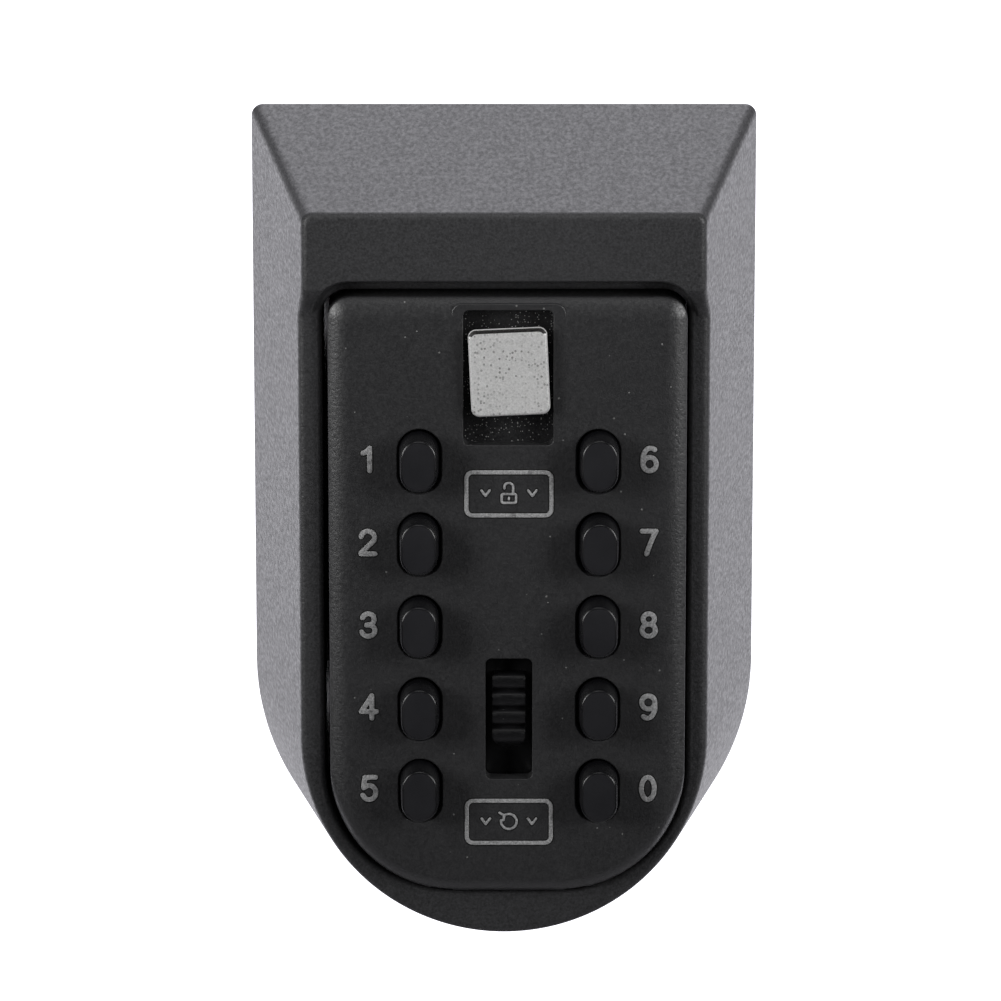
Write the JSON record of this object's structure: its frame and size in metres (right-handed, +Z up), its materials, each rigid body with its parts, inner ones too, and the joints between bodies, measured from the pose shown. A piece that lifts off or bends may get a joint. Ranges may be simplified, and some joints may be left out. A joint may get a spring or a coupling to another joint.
{
  "type": "key lock box",
  "caption": "Wall-mounted key lock box: tapered cast housing with a rounded bottom, hinged door with push buttons, a thumb lever and a ribbed clear slider.",
  "frame": {"origin": "centre of the housing's flat back, in the plane of the wall: half way up the straight height and width", "axes": "+Z up, +X to the right for a person facing the box, +Y into the wall; the door and buttons face -Y"},
  "size_m": [0.0698, 0.0503, 0.1138],
  "materials": {
    "powder_coat_body": "fine-textured dark grey powder coat",
    "powder_coat_door": "fine-textured charcoal powder coat",
    "gloss_black_plastic": "gloss",
    "satin_black_plastic": "satin",
    "plated_zinc": "bright plated die casting with small specks",
    "pin_brass": "turned",
    "spring_wire": "drawn wire",
    "guide_sheet": "zinc plated",
    "latch_sheet": "zinc plated",
    "reset_sheet": "zinc plated",
    "black_sheet": "black coated sheet",
    "screw_steel": "zinc plated",
    "rod_steel": "ground"
  },
  "bodies": {
    "housing": {"housing": "powder_coat_body"},
    "door": {"lid": "powder_coat_door", "hinge_rod": "rod_steel", "guide_plate": "guide_sheet", "back_plate": "black_sheet", "back_screw_upper_left": "screw_steel", "back_screw_upper_right": "screw_steel", "back_screw_lower_left": "screw_steel", "back_screw_lower_right": "screw_steel", "button_spring_1": "spring_wire", "button_spring_2": "spring_wire", "button_spring_3": "spring_wire", "button_spring_4": "spring_wire", "button_spring_5": "spring_wire", "button_spring_6": "spring_wire", "button_spring_7": "spring_wire", "button_spring_8": "spring_wire", "button_spring_9": "spring_wire", "button_spring_0": "spring_wire", "lever_spring": "spring_wire", "clear_spring": "spring_wire"},
    "latch": {"open_lever": "plated_zinc", "latch_plate": "latch_sheet"},
    "clear": {"clear_slider": "satin_black_plastic", "reset_plate": "reset_sheet"},
    "push_button_1": {"button_1": "gloss_black_plastic"},
    "code_rod_1": {"code_pin_1": "pin_brass"},
    "push_button_2": {"button_2": "gloss_black_plastic"},
    "code_rod_2": {"code_pin_2": "pin_brass"},
    "push_button_3": {"button_3": "gloss_black_plastic"},
    "code_rod_3": {"code_pin_3": "pin_brass"},
    "push_button_4": {"button_4": "gloss_black_plastic"},
    "code_rod_4": {"code_pin_4": "pin_brass"},
    "push_button_5": {"button_5": "gloss_black_plastic"},
    "code_rod_5": {"code_pin_5": "pin_brass"},
    "push_button_6": {"button_6": "gloss_black_plastic"},
    "code_rod_6": {"code_pin_6": "pin_brass"},
    "push_button_7": {"button_7": "gloss_black_plastic"},
    "code_rod_7": {"code_pin_7": "pin_brass"},
    "push_button_8": {"button_8": "gloss_black_plastic"},
    "code_rod_8": {"code_pin_8": "pin_brass"},
    "push_button_9": {"button_9": "gloss_black_plastic"},
    "code_rod_9": {"code_pin_9": "pin_brass"},
    "push_button_0": {"button_0": "gloss_black_plastic"},
    "code_rod_0": {"code_pin_0": "pin_brass"}
  },
  "joints": [
    {"name": "door_hinge", "type": "hinge", "parent": "housing", "child": "door", "pos_m": [0, -0.0442, -0.0407], "axis": [1, 0, 0], "range_deg": [0, 90]},
    {"name": "open_lever_slide", "type": "slide", "parent": "door", "child": "latch", "axis": [0, 0, -1], "range_m": [0, 0.0038], "stiffness_N_per_m": 300, "springref_m": -0.003, "deforming": ["lever_spring"]},
    {"name": "clear_slide", "type": "slide", "parent": "door", "child": "clear", "axis": [0, 0, -1], "range_m": [0, 0.004], "stiffness_N_per_m": 250, "springref_m": -0.003, "deforming": ["clear_spring"]},
    {"name": "button_1_press", "type": "slide", "parent": "door", "child": "push_button_1", "axis": [0, 1, 0], "range_m": [0, 0.0026], "stiffness_N_per_m": 250, "springref_m": -0.002, "deforming": ["button_spring_1"]},
    {"name": "button_2_press", "type": "slide", "parent": "door", "child": "push_button_2", "axis": [0, 1, 0], "range_m": [0, 0.0026], "stiffness_N_per_m": 250, "springref_m": -0.002, "deforming": ["button_spring_2"]},
    {"name": "button_3_press", "type": "slide", "parent": "door", "child": "push_button_3", "axis": [0, 1, 0], "range_m": [0, 0.0026], "stiffness_N_per_m": 250, "springref_m": -0.002, "deforming": ["button_spring_3"]},
    {"name": "button_4_press", "type": "slide", "parent": "door", "child": "push_button_4", "axis": [0, 1, 0], "range_m": [0, 0.0026], "stiffness_N_per_m": 250, "springref_m": -0.002, "deforming": ["button_spring_4"]},
    {"name": "button_5_press", "type": "slide", "parent": "door", "child": "push_button_5", "axis": [0, 1, 0], "range_m": [0, 0.0026], "stiffness_N_per_m": 250, "springref_m": -0.002, "deforming": ["button_spring_5"]},
    {"name": "button_6_press", "type": "slide", "parent": "door", "child": "push_button_6", "axis": [0, 1, 0], "range_m": [0, 0.0026], "stiffness_N_per_m": 250, "springref_m": -0.002, "deforming": ["button_spring_6"]},
    {"name": "button_7_press", "type": "slide", "parent": "door", "child": "push_button_7", "axis": [0, 1, 0], "range_m": [0, 0.0026], "stiffness_N_per_m": 250, "springref_m": -0.002, "deforming": ["button_spring_7"]},
    {"name": "button_8_press", "type": "slide", "parent": "door", "child": "push_button_8", "axis": [0, 1, 0], "range_m": [0, 0.0026], "stiffness_N_per_m": 250, "springref_m": -0.002, "deforming": ["button_spring_8"]},
    {"name": "button_9_press", "type": "slide", "parent": "door", "child": "push_button_9", "axis": [0, 1, 0], "range_m": [0, 0.0026], "stiffness_N_per_m": 250, "springref_m": -0.002, "deforming": ["button_spring_9"]},
    {"name": "button_0_press", "type": "slide", "parent": "door", "child": "push_button_0", "axis": [0, 1, 0], "range_m": [0, 0.0026], "stiffness_N_per_m": 250, "springref_m": -0.002, "deforming": ["button_spring_0"]},
    {"name": "code_pin_1_turn", "type": "hinge", "parent": "push_button_1", "child": "code_rod_1", "pos_m": [-0.0112, -0.0386, 0.0166], "axis": [0, 1, 0], "range_deg": [0, 180]},
    {"name": "code_pin_2_turn", "type": "hinge", "parent": "push_button_2", "child": "code_rod_2", "pos_m": [-0.0112, -0.0386, 0.0053], "axis": [0, 1, 0], "range_deg": [0, 180]},
    {"name": "code_pin_3_turn", "type": "hinge", "parent": "push_button_3", "child": "code_rod_3", "pos_m": [-0.0112, -0.0386, -0.006], "axis": [0, 1, 0], "range_deg": [0, 180]},
    {"name": "code_pin_4_turn", "type": "hinge", "parent": "push_button_4", "child": "code_rod_4", "pos_m": [-0.0112, -0.0386, -0.0173], "axis": [0, 1, 0], "range_deg": [0, 180]},
    {"name": "code_pin_5_turn", "type": "hinge", "parent": "push_button_5", "child": "code_rod_5", "pos_m": [-0.0112, -0.0386, -0.0286], "axis": [0, 1, 0], "range_deg": [0, 180]},
    {"name": "code_pin_6_turn", "type": "hinge", "parent": "push_button_6", "child": "code_rod_6", "pos_m": [0.0125, -0.0386, 0.0166], "axis": [0, 1, 0], "range_deg": [0, 180]},
    {"name": "code_pin_7_turn", "type": "hinge", "parent": "push_button_7", "child": "code_rod_7", "pos_m": [0.0125, -0.0386, 0.0053], "axis": [0, 1, 0], "range_deg": [0, 180]},
    {"name": "code_pin_8_turn", "type": "hinge", "parent": "push_button_8", "child": "code_rod_8", "pos_m": [0.0125, -0.0386, -0.006], "axis": [0, 1, 0], "range_deg": [0, 180]},
    {"name": "code_pin_9_turn", "type": "hinge", "parent": "push_button_9", "child": "code_rod_9", "pos_m": [0.0125, -0.0386, -0.0173], "axis": [0, 1, 0], "range_deg": [0, 180]},
    {"name": "code_pin_0_turn", "type": "hinge", "parent": "push_button_0", "child": "code_rod_0", "pos_m": [0.0125, -0.0386, -0.0286], "axis": [0, 1, 0], "range_deg": [0, 180]}
  ]
}
